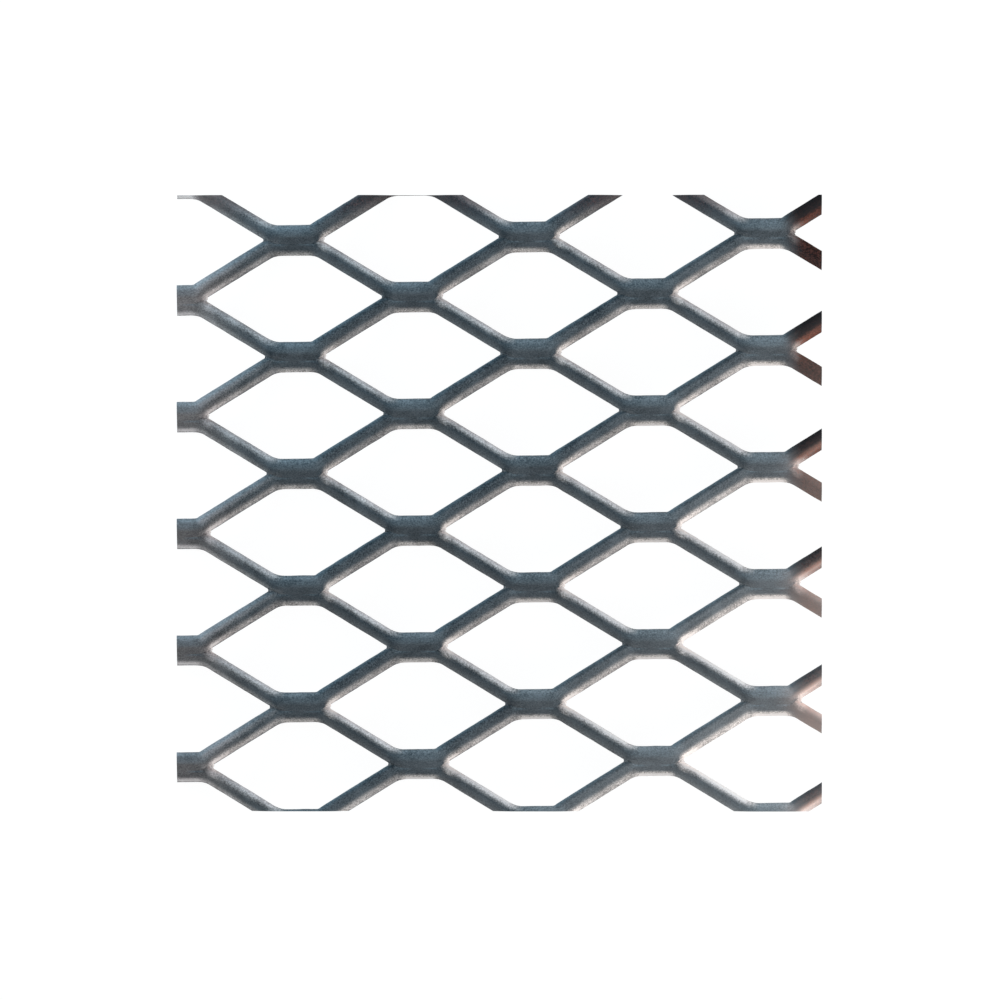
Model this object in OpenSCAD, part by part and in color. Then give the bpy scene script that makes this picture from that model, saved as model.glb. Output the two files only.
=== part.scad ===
// Raised expanded metal sheet, one piece of slit and stretched steel plate, cut to size.
// Millimetres. The sheet lies flat: +Z is up, +X runs along the long way of the diamonds,
// and the origin is the middle of the sheet's outline on the surface that it lies on.

/* [Mesh] */
// Long way of the mesh, from bond centre to bond centre
mesh_long = 40; // [32:0.1:60]
// Short way of the mesh, from bond centre to bond centre
mesh_short = 19.8; // [16:0.1:26]
// Length of the flat bond between two diamonds, along the long way
bond_length = 7; // [4:0.1:9]

/* [Strand] */
// Thickness of the plate that the mesh is slit from
plate_thickness = 1.5; // [1:0.1:2.5]
// Width of one strand, which is the feed of the plate at each cut
strand_width = 4.4; // [3:0.1:5.5]
// Inside radius where the strand bends under the corner of the knife
knife_radius = 1.8; // [0.2:0.1:2.4]
// Inside radius where the strand bends freely at the other side of a bond
free_radius = 3.4; // [0.5:0.1:4]

/* [Sheet] */
// Width of the cut piece, along the long way of the mesh
sheet_width = 110; // [70:0.5:160]
// Length of the cut piece, along the short way of the mesh
sheet_length = 104.6; // [70:0.2:160]
// Turn of the mesh against the cut edges, in degrees
mesh_turn = 0.8; // [-2:0.1:2]
// Distance of one bond's centre from the middle of the sheet, along the long way
bond_from_middle_x = 5.6; // [0:0.1:20]
// Distance of that bond's centre from the middle of the sheet, along the short way
bond_from_middle_y = 5.4; // [0:0.1:10]

/* [Hidden] */

// Flat pieces that each bend is drawn with
bend_steps = 4;

// Half of each pitch, which is the step from a bond to the next one up and across
half_long = mesh_long / 2;
half_short = mesh_short / 2;

// How far the knife pushes a strand down between two bonds, square to the plate, in hundredths
knife_drop = round(100 * sqrt(half_short * half_short - strand_width * strand_width)) / 100;
// Each strand stands on edge: it leans at this angle to the plane of the sheet
strand_lean = atan(knife_drop / strand_width);
// Slope of a strand between two bonds, in the plane of the cut
strand_slope = atan(knife_drop / (half_long - bond_length));
// Largest radius at which the two bends of one bond still fit on it
widest_bend = bond_length / 2 / tan(strand_slope / 2);

// Overlap of neighbouring strands, which fuses them into one piece at the bonds
seam_overlap = strand_width / 100;

// Lift that brings the lowest edge of the bonds to the surface below
bond_reach = strand_width + seam_overlap / 2;
bond_lift = bond_reach * sin(strand_lean) + plate_thickness / 2 * cos(strand_lean);
sheet_height = 2 * bond_lift;

// Half steps of the mesh that reach past the outline's corners from the first bond
reach = norm([sheet_width, sheet_length]) / 2 + norm([bond_from_middle_x, bond_from_middle_y]);
steps_across = ceil(reach / half_long) + 1;
strands_each_way = ceil(reach / half_short) + 1;

function is_odd(n) = abs(n) % 2 == 1;
function reversed(points) = [for (i = [len(points) - 1:-1:0]) points[i]];

// Round bend at a corner of the strand's middle line, drawn at an offset to the left of it.
// The line's heading changes from h0 to h1, about a centre on the inside of the bend.
function bend(corner, h0, h1, radius, offset) =
    let (
        side = sign(h1 - h0),
        start = corner - radius * tan(abs(h1 - h0) / 2) * [cos(h0), sin(h0)],
        centre = start + side * radius * [-sin(h0), cos(h0)]
    )
    [for (i = [0:bend_steps])
        let (h = h0 + (h1 - h0) * i / bend_steps)
        centre + side * (radius - side * offset) * [sin(h), -cos(h)]];

// One face of a strand from left to right: a bond below, a slope, a bond above, a slope.
function strand_face(offset) =
    [for (k = [-steps_across:steps_across])
        let (
            top = is_odd(k),
            slope = top ? -strand_slope : strand_slope,
            radius = min((top ? free_radius : knife_radius) + plate_thickness / 2, widest_bend),
            level = top ? knife_drop : 0
        )
        for (end = [-1, 1])
            let (corner = [k * half_long + end * bond_length / 2, level])
            each bend(corner, end < 0 ? -slope : 0, end < 0 ? 0 : slope, radius, offset)];

// A strand is a zigzag strip of the plate, as wide as the feed and the overlap at its two cuts.
module strand() {
    translate([0, 0, -seam_overlap / 2])
        linear_extrude(strand_width + seam_overlap)
            polygon(concat(strand_face(plate_thickness / 2), reversed(strand_face(-plate_thickness / 2))));
}

// The strands step down and forward from cut to cut, and stand on edge once the mesh lies flat.
module mesh() {
    rotate([strand_lean - 90, 0, 0])
        for (j = [-strands_each_way:strands_each_way])
            translate([is_odd(j) ? half_long : 0, j * knife_drop, j * strand_width])
                strand();
}

// Upright cuts round the piece, taller than the mesh.
module sheet_outline() {
    translate([-sheet_width / 2, -sheet_length / 2, -sheet_height / 2])
        cube([sheet_width, sheet_length, 2 * sheet_height]);
}

module expanded_sheet() {
    color("slategray")
        intersection() {
            rotate([0, 0, mesh_turn])
                translate([bond_from_middle_x, bond_from_middle_y, bond_lift])
                    mesh();
            sheet_outline();
        }
}

expanded_sheet();
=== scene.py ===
"""Looks of a raised expanded metal sheet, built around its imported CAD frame. Runs in Blender, in metres."""

import math
from collections import namedtuple
from types import SimpleNamespace

import bpy
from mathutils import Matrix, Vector, kdtree, noise


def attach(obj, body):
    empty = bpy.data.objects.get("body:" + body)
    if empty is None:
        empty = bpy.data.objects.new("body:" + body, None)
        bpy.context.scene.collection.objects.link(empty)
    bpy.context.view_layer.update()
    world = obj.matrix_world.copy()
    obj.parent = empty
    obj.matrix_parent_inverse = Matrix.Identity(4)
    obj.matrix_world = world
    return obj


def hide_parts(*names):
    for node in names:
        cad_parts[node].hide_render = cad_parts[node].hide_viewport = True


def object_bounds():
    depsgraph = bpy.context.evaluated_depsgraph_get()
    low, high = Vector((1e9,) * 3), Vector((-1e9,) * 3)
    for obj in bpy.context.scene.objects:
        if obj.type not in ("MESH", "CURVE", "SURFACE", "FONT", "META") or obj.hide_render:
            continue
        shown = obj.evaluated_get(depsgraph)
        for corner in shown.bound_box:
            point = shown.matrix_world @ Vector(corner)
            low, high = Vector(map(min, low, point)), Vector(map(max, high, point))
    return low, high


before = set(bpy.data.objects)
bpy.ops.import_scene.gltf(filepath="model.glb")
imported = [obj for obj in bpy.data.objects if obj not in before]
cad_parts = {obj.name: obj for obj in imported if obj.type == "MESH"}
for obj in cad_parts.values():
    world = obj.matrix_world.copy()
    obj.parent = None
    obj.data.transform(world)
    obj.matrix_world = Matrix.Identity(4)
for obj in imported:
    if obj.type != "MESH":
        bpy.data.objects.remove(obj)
cad_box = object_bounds()
MM = 0.001

# Sizes of the mesh as in the part's source, in millimetres
LONG = 40.0
DROP = 8.87
FEED = 4.4
PLATE = 1.5
BOND = 7.0
TURN = math.radians(0.8)
FIRST_BOND = (5.6, 5.4)

# Width and length of the sheet, from the frame
SHEET = [round((high - low) / MM, 3) for low, high in zip(*cad_box)][:2]

# How a strand leans and slopes, its reach with half of the source's overlap, and the lift that lays it down
LEAN = math.atan2(DROP, FEED)
SLOPE = math.atan2(DROP, LONG / 2 - BOND)
BOND_REACH = 1.005 * FEED
LIFT = BOND_REACH * math.sin(LEAN) + PLATE / 2 * math.cos(LEAN)

# Strands and bonds each way from the first bond, and how far past the outline strands and webs are kept
STRANDS = 8
BONDS = 5
STRAND_SPARE = 14.0
WEB_SPARE = 8.0

# Inside radii to the left and right of a bond: of the bends at lower and at upper bonds, and of the webs
KNIFE_RADII = (4.0, 1.0)
FREE_RADII = (3.4, 3.4)
WEB_RADII = (0.22, 0.45)

# Steps of a bend, and the spacing of stations along a bond and along a slope
BEND_STEPS = 6
BOND_SPACING = 0.9
SLOPE_SPACING = 1.1

# Sheared section of a strand: corner radii across the feed and through the plate, and slant of the cuts
ROLL = (2.2, 1.00)
BURR = (0.14, 0.14)
SEAM = (0.25, 0.10)
SEAM_LAP = 0.08
DRAFT = math.tan(math.radians(28))
ROLL_STEPS, BURR_STEPS, FACE_STEPS = 6, 3, 7
RING_POINTS = 2 * (ROLL_STEPS + BURR_STEPS + 2) + FACE_STEPS - 1

# Places of its front and back through the plate, in a bond too, and how far they shift on a slope
FRONT, BACK = -0.70, 0.76
BOND_FRONT, BOND_BACK = -0.75, 0.72
FALLING_FRONT, RISING_BACK = 0.05, 0.08

# A web: steps of its round end, reach below and above the cut, slant, root in the bond, lap on the strands
WEB_STEPS = 8
WEB_FOOT, WEB_HEAD = -0.55, 0.42
WEB_SLANT = 0.62
WEB_ROOT = (0.45, 0.2)
WEB_LAP_BELOW, WEB_LAP_ABOVE = 0.25, 0.3

# Waviness: how close and how high the wide and the fine waves are, and their share across the feed
WIDE_WAVES = (0.45, 0.030)
FINE_WAVES = (1.6, 0.014)
ACROSS_SHARE = 0.6

# Outline: trim of the far cut, and the lean of the camera, which the side cuts follow
FAR_TRIM = 0.1
VIEW_TILT = math.radians(3.2)

# Wear, painted light and painted shade are mixed from this many nearest points, by how near they are, in
# metres and with a least distance
NEAREST = 4
LEAST_DISTANCE = 1e-7

# Edges sharper than this, in degrees, are not shaded smooth
SHARP_EDGE = 38

# Places on the sheet between which wear and painted light grow from none to full, in millimetres along X or Y
LEFT_SIDE = (-30.0, -50.0)
LEFT_RIM = (-42.0, -54.0)
LEFT_CORNER = (-50.5, -52.5)
RIGHT_RUST = (48.0, 53.0)
FAR_RUST = (-35.0, 25.0)
RIGHT_GLARE = (46.0, 53.0)
RIGHT_SCORCH = (47.0, 51.5)
FAR_RIGHT_TARNISH = (44.0, 50.0)
NEAR_RIGHT_TARNISH = (49.0, 53.0)
NEAR_GLARE = (35.0, -27.0)
FAR_HALF = (0.0, 40.0)
FAR_BURNT = (47.5, 52.0)
FAR_RIM = (50.6, 51.4)

# Direction of the near right corner, the way along it that doubles bare steel and its painted pool of light,
# and where the painted shadow line along lower edges ends
NEAR_RIGHT = (0.8, -0.6)
LIT_BARE_DOUBLES = 130.0
SHADOW_LINE_ENDS = (10.0, 60.0)


def straight_step(a, b, x):
    """Straight step from 0 at a to 1 at b."""
    return min(1.0, max(0.0, (x - a) / (b - a)))


def smooth(a, b, x):
    """Smooth step from 0 at a to 1 at b."""
    s = straight_step(a, b, x)
    return s * s * (3 - 2 * s)


def fall(a, b, x):
    """Smooth step from 1 at a to 0 at b."""
    return 1 - smooth(a, b, x)


def between(p, q, f):
    """The pair at the share f of the way from pair p to pair q."""
    return (p[0] + (q[0] - p[0]) * f, p[1] + (q[1] - p[1]) * f)


# Middle line of a strand, in the plane of the cut
Corner = namedtuple("Corner", "bond x y heading_in heading_out radius")
Station = namedtuple("Station", "x y heading low high rolled past top")


def station(x, y, heading, bond):
    """A place on the line near a bond, where odd bonds are the upper ones.

    low and high say how far it is in a bond below or above, rolled how round its upper front corner is,
    and past how far it lies to the right of the bond's middle.
    """
    top = bond % 2 == 1
    past = x - bond * LONG / 2
    inside = fall(BOND / 2 - 1.0, BOND / 2 + 1.0, abs(past))
    low, high = (0.0, inside) if top else (inside, 0.0)
    rolled = smooth(0.5, BOND / 2 + 1.5, abs(past)) if top else 1.0
    return Station(x, y, heading, low, high, rolled, past, top)


def tangent(corner):
    """How far before a corner its bend starts, and how far after it the bend ends."""
    return corner.radius * math.tan(SLOPE / 2)


def bend(corner):
    """Stations of the round bend at a corner, from the heading into it to the heading out of it."""
    side = 1 if corner.heading_out > corner.heading_in else -1
    start_x = corner.x - tangent(corner) * math.cos(corner.heading_in)
    start_y = corner.y - tangent(corner) * math.sin(corner.heading_in)
    centre_x = start_x - side * corner.radius * math.sin(corner.heading_in)
    centre_y = start_y + side * corner.radius * math.cos(corner.heading_in)
    stations = []
    for i in range(BEND_STEPS + 1):
        h = corner.heading_in + (corner.heading_out - corner.heading_in) * i / BEND_STEPS
        x = centre_x + side * corner.radius * math.sin(h)
        y = centre_y - side * corner.radius * math.cos(h)
        stations.append(station(x, y, h, corner.bond))
    return stations


def straight(corner, following):
    """Stations between the end of a corner's bend and the start of the next one's."""
    h = corner.heading_out
    ax = corner.x + tangent(corner) * math.cos(h)
    ay = corner.y + tangent(corner) * math.sin(h)
    bx = following.x - tangent(following) * math.cos(h)
    by = following.y - tangent(following) * math.sin(h)
    spacing = BOND_SPACING if corner.bond == following.bond else SLOPE_SPACING
    count = max(2, round(math.hypot(bx - ax, by - ay) / spacing))
    stations = []
    for i in range(1, count):
        f = i / count
        bond = corner.bond if f < 0.5 else following.bond
        stations.append(station(ax + (bx - ax) * f, ay + (by - ay) * f, h, bond))
    return stations


def strand_line():
    """Stations of a strand from left to right: a bond below, a slope, a bond above, a slope."""
    corners = []
    for bond in range(-BONDS, BONDS + 1):
        top = bond % 2 == 1
        rise = -SLOPE if top else SLOPE
        for end in (-1, 1):
            x = bond * LONG / 2 + end * BOND / 2
            heading_in, heading_out = (-rise, 0.0) if end < 0 else (0.0, rise)
            radius = (FREE_RADII if top else KNIFE_RADII)[end > 0] + PLATE / 2
            level = DROP if top else 0.0
            corners.append(Corner(bond, x, level, heading_in, heading_out, radius))
    line = []
    for corner, following in zip(corners, corners[1:]):
        line += bend(corner) + straight(corner, following)
    return line


def section(place):
    """Ring of a strand's section at a station, as (u across the feed, v through the plate)."""
    low, high, rise = place.low, place.high, place.heading / SLOPE
    inside = max(low, high)
    top, foot = FEED + SEAM_LAP * high, -SEAM_LAP * low
    back = BACK + (BOND_BACK - BACK) * low + RISING_BACK * max(0.0, rise) * (1 - low)
    face = FRONT + (BOND_FRONT - FRONT) * inside + FALLING_FRONT * max(0.0, -rise) * (1 - inside)
    corners = (
        (top, face, between(SEAM, ROLL, place.rolled), -90, ROLL_STEPS),
        (top, back, between(BURR, SEAM, high), 0, BURR_STEPS),
        (foot, back, between(ROLL, SEAM, low), 90, ROLL_STEPS),
        (foot, face, between(BURR, SEAM, low), 180, BURR_STEPS),
    )
    ring = []
    for corner_u, corner_v, (radius_u, radius_v), start, steps in corners:
        side_u = 1 if corner_u > FEED / 2 else -1
        side_v = 1 if corner_v > 0 else -1
        free = 1 - (high if side_u > 0 else low)
        pivot = back if side_u > 0 else face
        for i in range(steps + 1):
            a = math.radians(start + 90 * i / steps)
            u = corner_u - side_u * radius_u + radius_u * math.cos(a)
            v = corner_v - side_v * radius_v + radius_v * math.sin(a)
            ring.append((u + DRAFT * (pivot - v) * free, v))
    # Front face, from its foot back to the first point
    last, first = ring[-1], ring[0]
    ring += [between(last, first, i / FACE_STEPS) for i in range(1, FACE_STEPS)]
    return ring


# Wear, painted light and painted shade, by where a point is on its strand and on the sheet
def rust_at(x, y):
    """How rusty the steel is at a place: at the right edge, and more so at its far end."""
    return smooth(*RIGHT_RUST, x) * (0.45 + 0.55 * smooth(*FAR_RUST, y))


def tarnish_at(x, y):
    """How dull bare steel is at a place: near the far right corner, and less along the rest of that edge."""
    far = smooth(*FAR_HALF, y)
    return 0.45 * far * smooth(*FAR_RIGHT_TARNISH, x) + 0.3 * (1 - far) * smooth(*NEAR_RIGHT_TARNISH, x)


def spot(place, u, v, x, y):
    """What the wear, painted light and painted shade of a point depend on: its strand's rise, its part of the
    section, the sheet's sides.
    """
    rise = place.heading / SLOPE
    return SimpleNamespace(
        u=u,
        v=v,
        x=x,
        y=y,
        top=place.top,
        low=place.low,
        high=place.high,
        past=place.past,
        past_end=place.past - BOND / 2,
        bond=1 - abs(rise),
        up=max(0.0, rise),
        down=max(0.0, -rise),
        cut=smooth(FEED - 1.2, FEED - 0.4, u) * smooth(-0.58, 0.30, v) * (1 - place.high),
        wide_cut=smooth(FEED - 1.6, FEED - 0.6, u) * smooth(-0.75, -0.25, v) * (1 - place.high),
        front=fall(-0.55, -0.20, v),
        left=smooth(*LEFT_SIDE, x),
        rim=smooth(*LEFT_RIM, x),
        burnt=smooth(*FAR_BURNT, y) * fall(*LEFT_CORNER, x),
        rusty=rust_at(x, y),
    )


def upper_bare_and_lit(at):
    """Bare steel on the cuts, with painted light from the right on those that fall to the right, where it is
    most.
    """
    falling = 1.05 * at.down * (1 - 0.3 * at.left) * (1 - 0.8 * at.rusty)
    bare_and_lit = at.cut * (falling + 0.10 * at.bond) + 0.27 * at.wide_cut * at.left * at.up
    return bare_and_lit + 0.25 * at.left * at.down * at.wide_cut * (1 - at.cut)


def lower_bare_and_lit(at):
    """Bare steel with painted light from the right and below towards the lower edge of a front: on rising and
    falling strands and on upper bonds.
    """
    clear = 1.0 if at.top else smooth(0.4, 1.5, at.past_end)
    bare_and_lit = 0.35 * at.rusty * at.up * fall(1.8, 3.8, at.u)
    bare_and_lit += 0.50 * at.up * clear * fall(1.2, 3.4, at.u)
    bare_and_lit += (0.12 + 0.55 * at.left) * at.down * fall(0.5, 2.5, at.u)
    # Painted light from below on the lower edges of upper bonds
    bare_and_lit += 1.3 * at.bond * at.high * fall(0.5, 2.3, at.u)
    return at.front * bare_and_lit


def corner_bare_and_lit(at):
    """Bare steel and a painted highlight where a strand leaves a bond to the right."""
    if at.top:
        tip = smooth(0.8, 1.6, at.past_end) * fall(1.7, 3.2, at.past_end)
        return 0.6 * tip * smooth(FEED - 1.0, FEED - 0.2, at.u)
    corner = smooth(0.4, 1.4, at.past_end) * fall(1.5, 5.0, at.past_end)
    return 1.2 * corner * fall(0.6, 2.2, at.u)


def bare_steel_and_light(at):
    """All bare steel with its painted light and highlights, more of it towards the near right corner as a
    painted pool of light.
    """
    toward_near_right = NEAR_RIGHT[0] * at.x + NEAR_RIGHT[1] * at.y
    bare_and_lit = upper_bare_and_lit(at) + lower_bare_and_lit(at) + corner_bare_and_lit(at)
    # Painted pool of light, growing towards the near right corner
    bare_and_lit *= (1 + toward_near_right / LIT_BARE_DOUBLES) * (1 - tarnish_at(at.x, at.y))
    # Lower edges at the left
    bare_and_lit += 0.28 * at.left * at.up * at.front * smooth(0.3, 0.8, at.u) * fall(1.3, 2.4, at.u)
    bare_and_lit += 0.5 * at.rim * at.bond * at.high * at.front * fall(0.5, 2.0, at.u)
    # Painted shadow line right at the lower edge, and the burnt far edge with its pale left corner
    shadow_line = max(at.left, 0.8 * at.up * fall(*SHADOW_LINE_ENDS, toward_near_right))
    bare_and_lit *= 1 - 0.8 * shadow_line * at.front * fall(0.1, 0.6, at.u)
    bare_and_lit *= 1 - 0.6 * at.burnt
    bare_and_lit += 0.5 * smooth(*FAR_RIM, at.y) * smooth(*LEFT_CORNER, at.x)
    # Painted light along the left rim, and the lower cuts
    bare_and_lit += 0.10 * at.rim * (1 + 1.2 * smooth(*FAR_HALF, at.y))
    bare_and_lit += (0.5 + 0.4 * at.high) * fall(0.0, 0.4, at.u) * smooth(-0.72, -0.3, at.v) * (1 - at.low)
    return min(1.5, bare_and_lit)


def painted_blue_sheen(at):
    """Painted blue sheen of sky light on rising cuts, along the seams of upper bonds and on the tops of lower
    ones.
    """
    painted_sky_sheen = at.wide_cut * at.left * at.up
    if at.top:
        seam = smooth(FEED - 0.8, FEED - 0.25, at.u) * fall(-0.3, 0.1, at.v)
        painted_sky_sheen += at.high * seam * smooth(0.5, 2.2, abs(at.past))
    else:
        painted_sky_sheen += 0.85 * fall(-2.0, 3.0, abs(at.past) - BOND / 2) * smooth(FEED - 2.3, FEED - 0.5, at.u)
    # Painted blue rim of sky light along the upper edge of rising cuts
    painted_sky_sheen += 1.4 * at.up * smooth(0.20, 0.65, at.v) * smooth(FEED - 0.8, FEED - 0.2, at.u)
    return min(1.3, painted_sky_sheen)


def rust(at):
    """Rust at the right edge, and a little along the burnt far edge."""
    rising = 0.75 + 0.35 * at.front * fall(2.6, 4.0, at.u) + 0.5 * smooth(1.6, 3.2, at.u)
    return at.rusty * (1.3 * at.down + 0.6 * at.bond + at.up * rising) + 0.45 * at.burnt


def burnish(at):
    """Where bare steel and its painted light are smoother: on falling cuts, on rising ones at the left, and
    at the left rim.
    """
    return min(1.0, at.cut * at.down + at.wide_cut * at.left * at.up + at.rim)


def painted_glare(at):
    """Painted pale haze of light at the right edge, growing towards its near end."""
    near = straight_step(*NEAR_GLARE, at.y)
    rising = 0.55 * at.front * smooth(0.8, 1.8, at.u) * fall(2.6, 4.2, at.u)
    return (at.down + 0.5 * at.bond + at.up * rising) * smooth(*RIGHT_GLARE, at.x) * near


def scorch(at):
    """Black scale along the tops of the rising strands at the right edge."""
    place = smooth(*RIGHT_SCORCH, at.x) * (0.5 + 0.5 * smooth(*FAR_RUST, at.y))
    return 0.9 * at.up * smooth(2.4, 3.8, at.u) * place


MARKS = {
    "bare_and_lit": bare_steel_and_light,
    "painted_sky_sheen": painted_blue_sheen,
    "rust": rust,
    "burnish": burnish,
    "painted_glare": painted_glare,
    "scorch": scorch,
}


# Meshes of the strands and webs
def to_sheet(x, y, z):
    """From the plate as it was cut, in millimetres, to the sheet as it lies, in metres."""
    sin_lean, cos_lean = math.sin(LEAN), math.cos(LEAN)
    px = x + FIRST_BOND[0]
    py = sin_lean * y + cos_lean * z + FIRST_BOND[1]
    pz = -cos_lean * y + sin_lean * z + LIFT
    sin_turn, cos_turn = math.sin(TURN), math.cos(TURN)
    return ((cos_turn * px - sin_turn * py) * MM, (sin_turn * px + cos_turn * py) * MM, pz * MM)


def sideways(j):
    """Every second strand is half a mesh further to the right."""
    return LONG / 2 if j % 2 else 0.0


def waviness(point, j):
    """How far the surface of strand j stands off at a point, in millimetres."""
    wide = noise.noise(point * WIDE_WAVES[0] + Vector((3.1, 7.7, j)))
    fine = noise.noise(point * FINE_WAVES[0] + Vector((9.2, 1.3, j)))
    return WIDE_WAVES[1] * wide + FINE_WAVES[1] * fine


def strand_mesh(j, verts, faces, marks):
    """Adds strand j as a closed tube, with the wear, painted light and painted shade of each point of it."""
    base = len(verts)
    rings = 0
    for place in strand_line():
        px = place.x + sideways(j)
        if abs(px + FIRST_BOND[0]) > SHEET[0] / 2 + STRAND_SPARE:
            continue
        sin_h, cos_h = math.sin(place.heading), math.cos(place.heading)
        for u, v in section(place):
            qx = px - v * sin_h
            qy = place.y + v * cos_h + j * DROP
            qz = u + j * FEED
            wave = waviness(Vector((qx, qy, qz)), j)
            side = 1 if v > 0 else -1
            edge = 1 if u > FEED / 2 else -1
            qx += -side * sin_h * wave
            qy += side * cos_h * wave
            qz += edge * ACROSS_SHARE * wave
            verts.append(to_sheet(qx, qy, qz))
            x, y, _ = verts[-1]
            here = spot(place, u, v, x / MM, y / MM)
            marks.append([paint(here) for paint in MARKS.values()])
        rings += 1
    for r in range(rings - 1):
        for i in range(RING_POINTS):
            a = base + r * RING_POINTS + i
            b = base + r * RING_POINTS + (i + 1) % RING_POINTS
            faces.append((a, a + RING_POINTS, b + RING_POINTS, b))
    faces.append(tuple(base + i for i in range(RING_POINTS)))
    faces.append(tuple(base + (rings - 1) * RING_POINTS + i for i in reversed(range(RING_POINTS))))


def web_ring(radius):
    """Outline of a web to the right of a bond, from the bond's middle and the level of the cut."""
    run, rise = math.cos(SLOPE), math.sin(SLOPE)
    vertex = BOND / 2 + (BACK - FRONT) / 2 / rise
    span = 90 - math.degrees(SLOPE)
    reach = radius / math.tan(SLOPE)
    ring = []
    for i in range(WEB_STEPS + 1):
        a = math.radians(180 + span * (2 * i / WEB_STEPS - 1))
        ring.append((vertex + radius / rise + radius * math.cos(a), radius * math.sin(a)))
    below, above = WEB_LAP_BELOW, WEB_LAP_ABOVE
    root, half_root = WEB_ROOT
    ring.append((vertex + reach * run - below * rise, -reach * rise - below * run))
    ring.append((vertex - root, -half_root))
    ring.append((vertex - root, half_root))
    ring.append((vertex + reach * run - above * rise, reach * rise + above * run))
    return ring


def web_mesh(j, verts, faces, marks):
    """Adds the small round webs left where the cut between strands j and j + 1 ends, beside its bonds."""
    for bond in range(-BONDS, BONDS + 1, 2):
        px = bond * LONG / 2 + sideways(j)
        if abs(px + FIRST_BOND[0]) > SHEET[0] / 2 + WEB_SPARE:
            continue
        for end in (1, -1):
            ring = web_ring(WEB_RADII[end > 0])
            base, n = len(verts), len(ring)
            for dz, slant in ((WEB_FOOT, 0.0), (WEB_HEAD, WEB_SLANT)):
                for dx, dy in ring:
                    z = (j + 1) * FEED + dz + slant * dy
                    verts.append(to_sheet(px + end * dx, dy + (j + 1) * DROP, z))
                    x, y = verts[-1][0] / MM, verts[-1][1] / MM
                    # Painted highlight on the webs to the right of a bond
                    bare_and_lit = 1.5 * (1 - tarnish_at(x, y)) if end > 0 else 0.1
                    worn_and_lit = {"bare_and_lit": bare_and_lit, "rust": 0.5 * rust_at(x, y)}
                    marks.append([worn_and_lit.get(mark, 0.0) for mark in MARKS])
            side = list(range(n)) if end > 0 else list(reversed(range(n)))
            faces.append(tuple(base + n + i for i in reversed(side)))
            faces.append(tuple(base + i for i in side))
            for a, b in zip(side, side[1:] + side[:1]):
                faces.append((base + a, base + n + a, base + n + b, base + b))


def mesh_object(name, verts, faces):
    mesh = bpy.data.meshes.new(name)
    mesh.from_pydata(verts, [], faces)
    mesh.update()
    body = bpy.data.objects.new(name, mesh)
    bpy.context.scene.collection.objects.link(body)
    return body


def apply_boolean(body, other, operation):
    """Fuses a body with another one or cuts it to that one, which is used up."""
    modifier = body.modifiers.new("bool", "BOOLEAN")
    modifier.operation = operation
    modifier.object = other
    modifier.solver = "MANIFOLD"
    graph = bpy.context.evaluated_depsgraph_get()
    result = bpy.data.meshes.new_from_object(body.evaluated_get(graph))
    body.modifiers.clear()
    old = body.data
    body.data = result
    bpy.data.meshes.remove(old)
    bpy.data.objects.remove(other)


def fused_mesh():
    """One mesh of all strands and webs, and the points that it was made from, each with its wear, painted
    light and painted shade.
    """
    groups, points = [], []
    # Every second strand in each of two groups, whose members don't touch, and the webs in a third
    for name, add_one, first, step in (
        ("expanded_metal", strand_mesh, -STRANDS, 2),
        ("strands_odd", strand_mesh, 1 - STRANDS, 2),
        ("webs", web_mesh, -STRANDS, 1),
    ):
        verts, faces, marks = [], [], []
        for j in range(first, STRANDS, step):
            add_one(j, verts, faces, marks)
        groups.append(mesh_object(name, verts, faces))
        points += zip(verts, marks)
    fused, odd, webs = groups
    apply_boolean(fused, odd, "UNION")
    apply_boolean(fused, webs, "UNION")
    return fused, points


def outline_box():
    """Box of the sheared outline, its two side cuts a little off square along the line of sight."""
    hx, hy = SHEET[0] / 2 * MM, SHEET[1] / 2 * MM
    height = 2 * LIFT * MM
    skew = height * math.tan(VIEW_TILT)
    verts = [
        (x, y, z)
        for z, left, right in ((0.0, -hx, hx - skew), (height, -hx + skew, hx))
        for y in (-hy, hy - FAR_TRIM * MM)
        for x in (left, right)
    ]
    faces = [(0, 2, 3, 1), (4, 5, 7, 6), (0, 1, 5, 4), (2, 6, 7, 3), (0, 4, 6, 2), (1, 3, 7, 5)]
    return mesh_object("cutter", verts, faces)


def lay_wear_and_light(mesh, points):
    """Gives each point of the finished mesh the wear, painted light and painted shade of the nearest points
    that it was made from.
    """
    tree = kdtree.KDTree(len(points))
    for i, (place, _) in enumerate(points):
        tree.insert(place, i)
    tree.balance()
    wear_and_light_values = []
    for vertex in mesh.vertices:
        found = tree.find_n(vertex.co, NEAREST)
        close = [(1 / (apart + LEAST_DISTANCE), points[i][1]) for _, i, apart in found]
        total = sum(weight for weight, _ in close)
        mixed = [sum(weight * worn_and_lit[n] for weight, worn_and_lit in close) / total for n in range(len(MARKS))]
        wear_and_light_values.append(mixed)
    for mark, values in zip(MARKS, zip(*wear_and_light_values)):
        mesh.attributes.new(mark, "FLOAT", "POINT").data.foreach_set("value", values)


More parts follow.
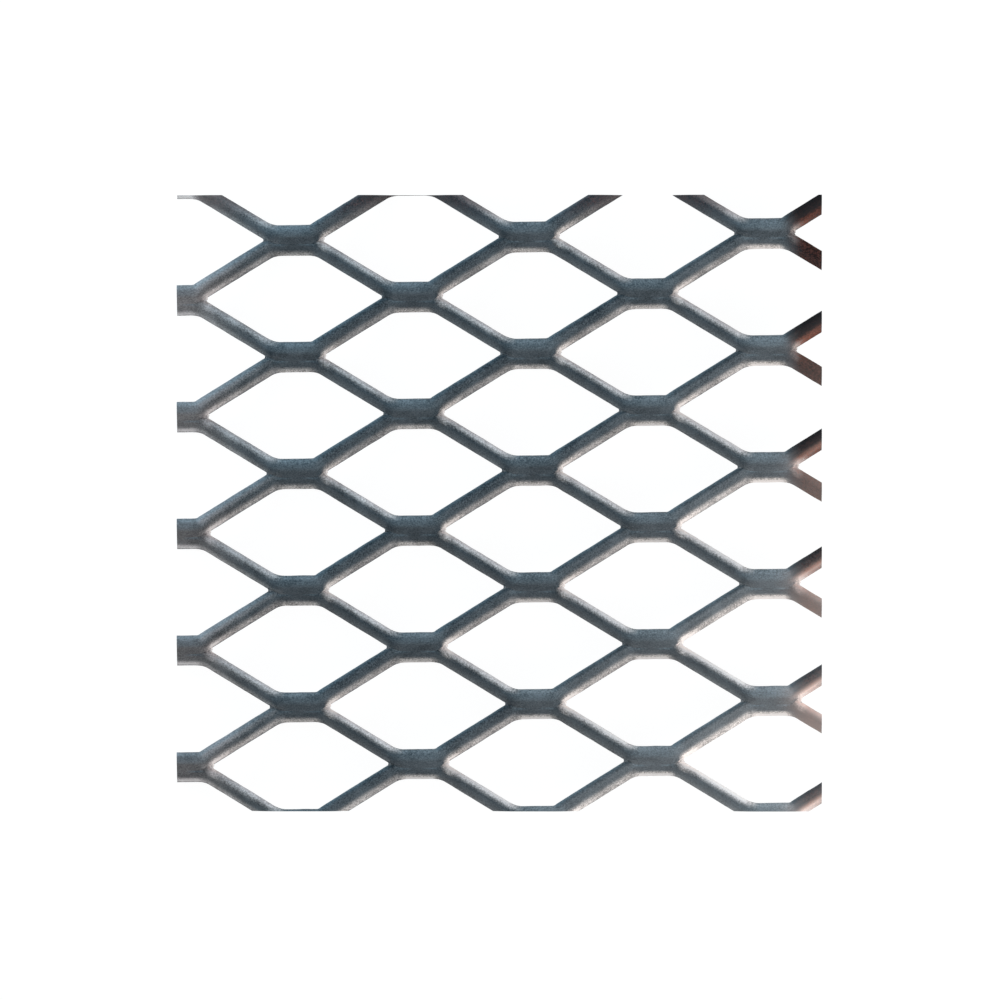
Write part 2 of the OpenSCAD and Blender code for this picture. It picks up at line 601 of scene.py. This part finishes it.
# Materials
class Shader:
    """The node tree of one material. Values of sockets are constants or outputs of other nodes."""

    def __init__(self, name):
        self.material = bpy.data.materials.new(name)
        self.material.use_nodes = True
        self.tree = self.material.node_tree
        self.tree.nodes.clear()

    def add(self, kind, sockets=None, **properties):
        """Adds a node, sets its properties and then sets or links its input sockets."""
        node = self.tree.nodes.new(kind)
        for key, value in properties.items():
            setattr(node, key, value)
        for key, value in (sockets or {}).items():
            if isinstance(value, bpy.types.NodeSocket):
                self.tree.links.new(value, node.inputs[key])
            else:
                node.inputs[key].default_value = value
        return node

    def calc(self, operation, *values, clamp=False):
        node = self.add("ShaderNodeMath", dict(enumerate(values)), operation=operation, use_clamp=clamp)
        return node.outputs[0]

    def ramp(self, fac, dark, pale):
        node = self.add("ShaderNodeValToRGB", {"Fac": fac})
        for element, (position, colour) in zip(node.color_ramp.elements, (dark, pale)):
            element.position = position
            element.color = (*colour, 1)
        return node.outputs["Color"]

    def mix(self, fac, a, b, blend="MIX"):
        if isinstance(b, tuple):
            b = (*b, 1)
        sockets = {"Factor": fac, "A": a, "B": b}
        return self.add("ShaderNodeMix", sockets, data_type="RGBA", blend_type=blend).outputs["Result"]

    def reach(self, value, start, end, low, high):
        """From low where the value is at start to high where it is at end, smoothly."""
        sockets = {"Value": value, "From Min": start, "From Max": end, "To Min": low, "To Max": high}
        node = self.add("ShaderNodeMapRange", sockets, interpolation_type="SMOOTHSTEP")
        return node.outputs["Result"]

    def mottle(self, place, scale, detail, rough):
        sockets = {"Vector": place, "Scale": scale, "Detail": detail, "Roughness": rough}
        return self.add("ShaderNodeTexNoise", sockets).outputs["Fac"]

    def painted(self, mark):
        return self.add("ShaderNodeAttribute", attribute_name=mark).outputs["Fac"]


def steel():
    """Dark scale under a painted blue sky sheen, bare steel with painted light and highlights, rust and black
    scale, then painted haze.
    """
    shader = Shader("mill_steel")
    place = shader.add("ShaderNodeTexCoord").outputs["Object"]
    across = shader.add("ShaderNodeSeparateXYZ", {0: place}).outputs["X"]
    grain = shader.mottle(place, 3600.0, 3.0, 0.7)
    blotch = shader.mottle(place, 240.0, 3.0, 0.6)
    flake = shader.mottle(place, 2400.0, 3.0, 0.7)
    speck = shader.calc("MULTIPLY_ADD", grain, 0.7, shader.calc("MULTIPLY", blotch, 0.3))
    ragged = shader.calc("MULTIPLY_ADD", speck, 3.0, -0.5)
    # Tones, each from dark to pale specks
    scale = shader.ramp(speck, (0.39, (0.012, 0.023, 0.032)), (0.61, (0.094, 0.119, 0.138)))
    warm = shader.ramp(speck, (0.39, (0.024, 0.024, 0.025)), (0.61, (0.150, 0.140, 0.136)))
    blue = shader.ramp(speck, (0.38, (0.074, 0.108, 0.130)), (0.62, (0.158, 0.208, 0.243)))
    worn_and_lit = shader.ramp(speck, (0.38, (0.30, 0.262, 0.240)), (0.62, (0.97, 0.89, 0.845)))
    burnished = shader.ramp(speck, (0.38, (0.46, 0.405, 0.395)), (0.62, (0.84, 0.75, 0.735)))
    brown = shader.ramp(flake, (0.40, (0.008, 0.005, 0.005)), (0.64, (0.120, 0.043, 0.033)))
    orange = shader.ramp(speck, (0.38, (0.030, 0.009, 0.006)), (0.62, (0.26, 0.090, 0.056)))
    # Scale, warmer at the left edge, under a painted blue sky sheen and bare steel with painted light,
    # smoother on cuts
    colour = shader.mix(shader.reach(across, -0.040, -0.053, 0.0, 0.7), scale, warm)
    polish = shader.painted("burnish")
    calm = shader.calc("MULTIPLY_ADD", polish, shader.calc("MULTIPLY_ADD", ragged, -0.6, 0.6), ragged)
    colour = shader.mix(shader.calc("MULTIPLY", shader.painted("painted_sky_sheen"), calm, clamp=True), colour, blue)
    most = shader.painted("bare_and_lit")
    bare_and_lit = shader.calc("MULTIPLY", most, calm, clamp=True)
    # Tone of bare steel and its painted light, then a painted highlight where that mark is most
    bare_tone_and_highlight = shader.mix(polish, worn_and_lit, burnished)
    bare_tone_and_highlight = shader.mix(shader.reach(most, 1.05, 1.5, 0.0, 0.9), bare_tone_and_highlight, (0.95, 0.875, 0.835))
    colour = shader.mix(bare_and_lit, colour, bare_tone_and_highlight)
    # Rust of two tones, and black scale
    rusted = shader.calc("MULTIPLY", shader.painted("rust"), ragged, clamp=True)
    colour = shader.mix(rusted, colour, shader.mix(bare_and_lit, brown, orange))
    colour = shader.mix(shader.painted("scorch"), colour, (0.010, 0.011, 0.013))
    # Painted haze of light towards the near right corner, not on the rust, and more painted haze near that
    # corner's edge
    toward = shader.add("ShaderNodeVectorMath", {0: place, 1: (0.85, -0.5, 0.0)}, operation="DOT_PRODUCT")
    painted_haze = shader.reach(toward.outputs["Value"], 0.0, 0.082, 0.0, 0.42)
    painted_haze = shader.calc("MULTIPLY", painted_haze, shader.calc("MULTIPLY_ADD", rusted, -0.85, 1.0))
    colour = shader.mix(painted_haze, colour, (0.24, 0.235, 0.23), "ADD")
    colour = shader.mix(shader.painted("painted_glare"), colour, (0.36, 0.26, 0.22), "ADD")
    # Surface, rougher where it is rusty
    bump = shader.add("ShaderNodeBump", {"Strength": 0.35, "Distance": 0.00006, "Height": grain})
    sockets = {
        "Base Color": colour,
        "Metallic": 0.15,
        "Roughness": shader.calc("MULTIPLY_ADD", rusted, 0.35, 0.6),
        "Specular IOR Level": 0.15,
        "Normal": bump.outputs["Normal"],
    }
    surface = shader.add("ShaderNodeBsdfPrincipled", sockets)
    shader.add("ShaderNodeOutputMaterial", {"Surface": surface.outputs["BSDF"]})
    return shader.material


def floor_white():
    """White to the eye and in reflections, with the sheet's faint shadow, and plain grey to other light."""
    shader = Shader("floor_white")
    ray = shader.add("ShaderNodeLightPath").outputs
    mirrored = shader.calc("MAXIMUM", ray["Is Glossy Ray"], ray["Is Transmission Ray"])
    seen = shader.calc("MAXIMUM", ray["Is Camera Ray"], mirrored)
    plain = shader.add("ShaderNodeBsdfDiffuse", {"Color": (0.78, 0.78, 0.78, 1)})
    pale = shader.add("ShaderNodeBsdfDiffuse", {"Color": (0.10, 0.10, 0.10, 1)})
    glow = shader.add("ShaderNodeEmission", {"Color": (1, 1, 1, 1), "Strength": 0.95})
    white = shader.add("ShaderNodeAddShader", {0: pale.outputs[0], 1: glow.outputs[0]})
    both = shader.add("ShaderNodeMixShader", {0: seen, 1: plain.outputs[0], 2: white.outputs[0]})
    shader.add("ShaderNodeOutputMaterial", {"Surface": both.outputs[0]})
    return shader.material


# The sheet: fused, cut to its outline, given its wear, painted light and painted shade, and its steel
sheet, made_from = fused_mesh()
apply_boolean(sheet, outline_box(), "INTERSECT")
sheet.data.name = "expanded_metal"
for polygon in sheet.data.polygons:
    polygon.use_smooth = True
sheet.data.set_sharp_from_angle(angle=math.radians(SHARP_EDGE))
lay_wear_and_light(sheet.data, made_from)
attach(sheet, "root")
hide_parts("expanded_sheet")
sheet.data.materials.clear()
sheet.data.materials.append(steel())

# Floor, reaching this far each way, in metres
FLOOR = 1.5
floor_corners = [(-FLOOR, -FLOOR, 0), (FLOOR, -FLOOR, 0), (FLOOR, FLOOR, 0), (-FLOOR, FLOOR, 0)]
floor = mesh_object("floor", floor_corners, [(0, 1, 2, 3)])
floor.data.materials.append(floor_white())


# Lights, the low ones facing the middle of the sheet
SHEET_MIDDLE = (0, 0, 0.004)


def area(name, loc, target, size, power, color):
    """A rectangle of light that faces a target and isn't seen itself."""
    light = bpy.data.lights.new(name, "AREA")
    light.shape = "RECTANGLE"
    light.size, light.size_y = size
    light.energy = power
    light.color = color
    panel = bpy.data.objects.new(name, light)
    panel.location = loc
    panel.visible_camera = False
    panel.rotation_euler = (Vector(target) - Vector(loc)).to_track_quat("-Z", "Y").to_euler()
    bpy.context.scene.collection.objects.link(panel)


def low_light(name, azimuth, elevation, distance, size, power, color):
    """A panel that stands round the sheet: azimuth from +X towards +Y, in degrees."""
    a, e = math.radians(azimuth), math.radians(elevation)
    out = distance * math.cos(e)
    loc = (out * math.cos(a), out * math.sin(a), distance * math.sin(e))
    area(name, loc, SHEET_MIDDLE, size, power, color)


low_light("right", -20, 20, 0.22, size=(0.16, 0.10), power=0.30, color=(1.0, 0.95, 0.92))
low_light("left", 148, 28, 0.19, size=(0.14, 0.10), power=0.17, color=(0.58, 0.85, 1.0))
area("sky", (-0.10, 0.60, 0.60), (0, 0, 0), size=(0.7, 0.7), power=0.7, color=(0.58, 0.84, 1.0))

world = bpy.data.worlds.new("world")
bpy.context.scene.world = world
world.use_nodes = True
sky = world.node_tree.nodes["Background"]
sky.inputs["Color"].default_value = (0.86, 0.94, 1.0, 1)
sky.inputs["Strength"].default_value = 0.55

# Camera above, leaning to the right, with a very long lens, set by the picture's width and scale and its aim
PICTURE = 1000
PIXELS_PER_MM = 5.897
AIM = (0.145, 0.47)
optics = bpy.data.cameras.new("camera")
optics.lens = 1000.0
optics.sensor_width = 36.0
optics.clip_start, optics.clip_end = 0.01, 20.0
distance = PICTURE / PIXELS_PER_MM * MM * optics.lens / optics.sensor_width
camera = bpy.data.objects.new("camera", optics)
camera.location = (
    AIM[0] * MM + distance * math.sin(VIEW_TILT),
    AIM[1] * MM,
    LIFT * MM + distance * math.cos(VIEW_TILT),
)
camera.rotation_euler = (0.0, VIEW_TILT, 0.0)
bpy.context.scene.collection.objects.link(camera)
bpy.context.scene.camera = camera

bpy.context.scene.view_settings.view_transform = "Standard"
